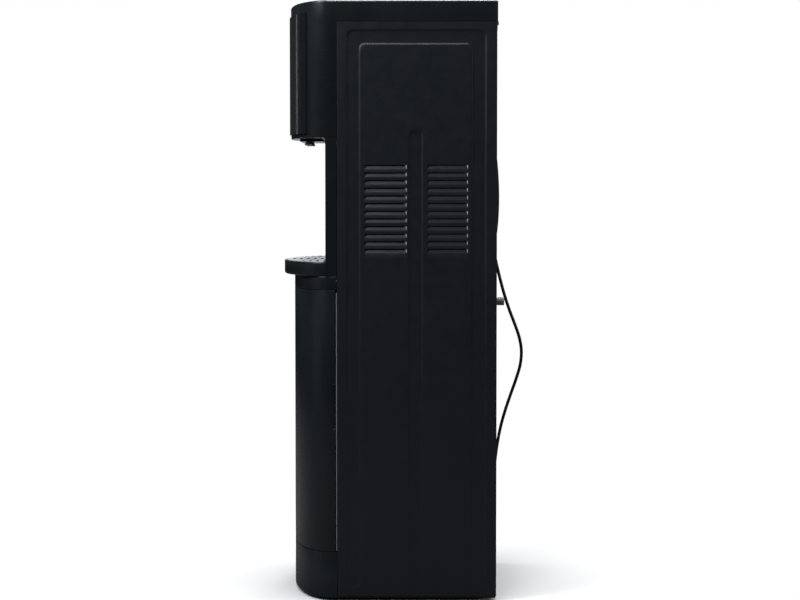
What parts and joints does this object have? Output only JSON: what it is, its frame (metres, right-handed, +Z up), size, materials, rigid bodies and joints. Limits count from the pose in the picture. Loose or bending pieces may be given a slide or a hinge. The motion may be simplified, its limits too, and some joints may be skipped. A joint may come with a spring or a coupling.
{
  "type": "water dispenser",
  "caption": "Tall black bottom-loading water dispenser with a bowed front door, drip tray, dispensing recess, louvred steel sides and a mains cord.",
  "frame": {"origin": "on the floor under the middle of the cabinet's box, tray front to drain plug", "axes": "+Z up, front of the cabinet towards -Y, +X to the right of someone facing along +Y"},
  "size_m": [0.4102, 0.4421, 1.04],
  "materials": {
    "steel_black": "satin black powder coat",
    "plastic_black": "fine satin black moulding",
    "gloss_black": "polished black",
    "stainless": "brushed stainless",
    "galvanised": "plain zinc-coated steel",
    "copper": "bare copper",
    "rubber_black": "matt black rubber",
    "plastic_white": "natural white nylon",
    "plastic_grey": "translucent light grey",
    "foam": "rigid insulating foam",
    "silicone": "milky silicone",
    "board_green": "solder-masked circuit board",
    "key_red": "gloss red"
  },
  "bodies": {
    "cabinet": {"base_frame": "plastic_black", "foot_front_left": "rubber_black", "foot_rear_left": "rubber_black", "foot_front_right": "rubber_black", "foot_rear_right": "rubber_black", "bay_floor": "galvanised", "side_panel_right": "steel_black", "side_panel_left": "steel_black", "rear_panel": "steel_black", "head_cover": "plastic_black", "control_fascia": "gloss_black", "nozzle_cold": "plastic_black", "nozzle_room": "plastic_black", "nozzle_hot": "plastic_black", "valve_cold": "plastic_white", "valve_room": "plastic_white", "valve_hot": "plastic_white", "nozzle_block": "plastic_black", "front_column": "plastic_black", "tray_housing": "plastic_black", "hinge_upper": "galvanised", "hinge_lower": "galvanised", "catch_magnet": "plastic_black", "front_rail": "galvanised", "compressor_deck": "galvanised", "cold_tank_foam": "foam", "cold_tank": "stainless", "hot_tank": "stainless", "compressor": "steel_black", "condenser": "steel_black", "filter_drier": "copper", "water_pump": "plastic_white", "bottle_probe": "silicone", "probe_hanger": "plastic_black", "supply_hose": "silicone", "cold_line": "silicone", "hot_line": "silicone", "control_board": "board_green", "switch_bezel": "plastic_black", "drain_outlet": "plastic_grey", "cover_screw_left": "galvanised", "cover_screw_right": "galvanised", "cord_gland": "rubber_black", "cord_clip": "rubber_black", "cord_run": "rubber_black", "cord_coil": "rubber_black", "cord_tail": "rubber_black", "cord_plug": "rubber_black"},
    "door": {"door": "plastic_black", "door_liner": "plastic_black", "catch_plate": "galvanised"},
    "drip_tray": {"drip_tray": "plastic_black"},
    "drip_grate": {"drip_grate": "stainless"},
    "button_cold": {"button_cold": "gloss_black"},
    "button_room": {"button_room": "gloss_black"},
    "button_hot": {"button_hot": "gloss_black"},
    "button_child_lock": {"button_child_lock": "key_red"},
    "rocker_hot": {"rocker_hot": "key_red"},
    "rocker_cold": {"rocker_cold": "plastic_black"},
    "drain_plug": {"drain_plug": "plastic_grey"}
  },
  "joints": [
    {"name": "door_hinge", "type": "hinge", "parent": "cabinet", "child": "door", "pos_m": [-0.1465, -0.1212, 0.3], "axis": [0, 0, -1], "range_deg": [0, 110]},
    {"name": "drip_tray_slide", "type": "slide", "parent": "cabinet", "child": "drip_tray", "axis": [0, -1, 0], "range_m": [0, 0.09]},
    {"name": "drip_grate_lift", "type": "slide", "parent": "drip_tray", "child": "drip_grate", "axis": [0, 0, 1], "range_m": [0, 0.06]},
    {"name": "button_cold_press", "type": "slide", "parent": "cabinet", "child": "button_cold", "axis": [0.1402, 0.9901, 0], "range_m": [0, 0.002], "stiffness_N_per_m": 300},
    {"name": "button_room_press", "type": "slide", "parent": "cabinet", "child": "button_room", "axis": [0, 1, 0], "range_m": [0, 0.002], "stiffness_N_per_m": 300},
    {"name": "button_hot_press", "type": "slide", "parent": "cabinet", "child": "button_hot", "axis": [-0.1402, 0.9901, 0], "range_m": [0, 0.002], "stiffness_N_per_m": 300},
    {"name": "button_child_lock_press", "type": "slide", "parent": "cabinet", "child": "button_child_lock", "axis": [-0.1402, 0.9901, 0], "range_m": [0, 0.002], "stiffness_N_per_m": 300},
    {"name": "rocker_hot_tilt", "type": "hinge", "parent": "cabinet", "child": "rocker_hot", "pos_m": [0.121, 0.174, 0.899], "axis": [1, 0, 0], "range_deg": [-16, 0]},
    {"name": "rocker_cold_tilt", "type": "hinge", "parent": "cabinet", "child": "rocker_cold", "pos_m": [0.121, 0.174, 0.881], "axis": [1, 0, 0], "range_deg": [-16, 0]},
    {"name": "drain_plug_pull", "type": "slide", "parent": "cabinet", "child": "drain_plug", "axis": [0, 1, 0], "range_m": [0, 0.03]}
  ]
}
